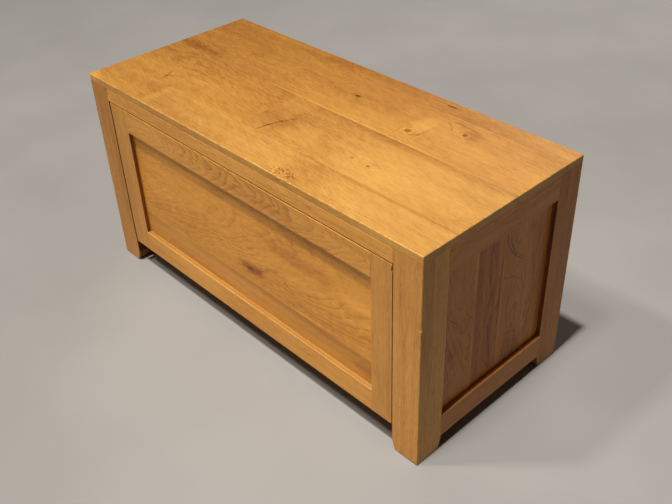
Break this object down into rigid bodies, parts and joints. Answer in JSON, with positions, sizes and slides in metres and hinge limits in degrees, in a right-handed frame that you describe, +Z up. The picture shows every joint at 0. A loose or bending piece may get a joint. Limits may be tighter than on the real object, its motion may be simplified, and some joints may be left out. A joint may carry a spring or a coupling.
{
  "type": "storage chest",
  "caption": "Low wooden storage chest on square legs with a fixed flush top, framed panels and a framed drop-front flap held by slotted stays and a push latch.",
  "frame": {"origin": "centre of the footprint, on the floor under the glides", "axes": "+X along the length to the right as seen from the front, -Y to the front (the flap's side), +Z up"},
  "size_m": [1.02, 0.448, 0.5],
  "materials": {
    "top_wood": "oiled and waxed satin, golden brown",
    "leg_wood": "oiled and waxed satin, golden brown",
    "rail_wood": "oiled and waxed satin, golden brown",
    "panel_wood": "oiled and waxed satin, golden brown",
    "flap_panel_wood": "oiled and waxed satin, golden brown",
    "flap_frame_wood": "oiled and waxed satin, golden brown",
    "floor_plywood": "sanded, unfinished",
    "bearer_wood": "sawn, unfinished",
    "hinge_brass": "satin",
    "screw_brass": "satin",
    "stay_steel": "zinc plated",
    "screw_steel": "zinc plated",
    "latch_plastic": "moulded brown",
    "plunger_plastic": "moulded black",
    "spring_steel": "bright",
    "strike_steel": "zinc plated",
    "glide_felt": "dense brown felt"
  },
  "bodies": {
    "carcass": {"top_board_front_left": "top_wood", "top_board_front_right": "top_wood", "top_board_middle_left": "top_wood", "top_board_middle_right": "top_wood", "top_board_rear": "top_wood", "top_board_back_edge": "top_wood", "front_left_leg": "leg_wood", "front_right_leg": "leg_wood", "back_left_leg": "leg_wood", "back_right_leg": "leg_wood", "front_top_rail": "rail_wood", "flap_stop_rail": "rail_wood", "front_bottom_rail": "rail_wood", "back_top_rail": "rail_wood", "back_bottom_rail": "rail_wood", "left_top_rail": "rail_wood", "left_bottom_rail": "rail_wood", "right_top_rail": "rail_wood", "right_bottom_rail": "rail_wood", "left_panel_board_1": "panel_wood", "left_panel_board_2": "panel_wood", "left_panel_board_3": "panel_wood", "left_panel_board_4": "panel_wood", "right_panel_board_1": "panel_wood", "right_panel_board_2": "panel_wood", "right_panel_board_3": "panel_wood", "right_panel_board_4": "panel_wood", "back_panel_lower_board": "panel_wood", "back_panel_upper_board": "panel_wood", "floor_panel": "floor_plywood", "floor_bearer_left": "bearer_wood", "floor_bearer_middle": "bearer_wood", "floor_bearer_right": "bearer_wood", "left_hinge_carcass_leaf": "hinge_brass", "right_hinge_carcass_leaf": "hinge_brass", "left_hinge_pin": "hinge_brass", "right_hinge_pin": "hinge_brass", "left_stay_stud_plate": "stay_steel", "right_stay_stud_plate": "stay_steel", "latch_housing": "latch_plastic", "latch_spring": "spring_steel", "hinge_screws_carcass": "screw_brass", "stay_screws_carcass": "screw_steel", "felt_glides": "glide_felt"},
    "flap": {"flap_left_stile": "flap_frame_wood", "flap_right_stile": "flap_frame_wood", "flap_top_rail": "flap_frame_wood", "flap_bottom_rail": "flap_frame_wood", "flap_panel_lower_board": "flap_panel_wood", "flap_panel_upper_board": "flap_panel_wood", "left_hinge_flap_leaf": "hinge_brass", "right_hinge_flap_leaf": "hinge_brass", "hinge_screws_flap": "screw_brass", "left_stay_flap_bracket": "stay_steel", "right_stay_flap_bracket": "stay_steel", "stay_screws_flap": "screw_steel", "latch_strike": "strike_steel"},
    "left_stay": {"left_stay_arm": "stay_steel"},
    "right_stay": {"right_stay_arm": "stay_steel"},
    "plunger": {"latch_plunger": "plunger_plastic"}
  },
  "joints": [
    {"name": "flap_hinge", "type": "hinge", "parent": "carcass", "child": "flap", "pos_m": [0, -0.198, 0.065], "axis": [1, 0, 0], "range_deg": [0, 90]},
    {"name": "left_stay_pivot", "type": "hinge", "parent": "flap", "child": "left_stay", "pos_m": [-0.437, -0.192, 0.21488], "axis": [1, 0, 0], "range_deg": [-45, 0]},
    {"name": "right_stay_pivot", "type": "hinge", "parent": "flap", "child": "right_stay", "pos_m": [0.437, -0.192, 0.21488], "axis": [1, 0, 0], "range_deg": [-45, 0]},
    {"name": "latch_push", "type": "slide", "parent": "carcass", "child": "plunger", "axis": [0, 1, 0], "range_m": [0, 0.003], "stiffness_N_per_m": 300, "springref_m": -0.004, "deforming": ["latch_spring"]}
  ],
  "couplings": [
    {"joint": "left_stay_pivot", "follows": "flap_hinge", "ratio": -0.5},
    {"joint": "right_stay_pivot", "follows": "flap_hinge", "ratio": -0.5}
  ]
}
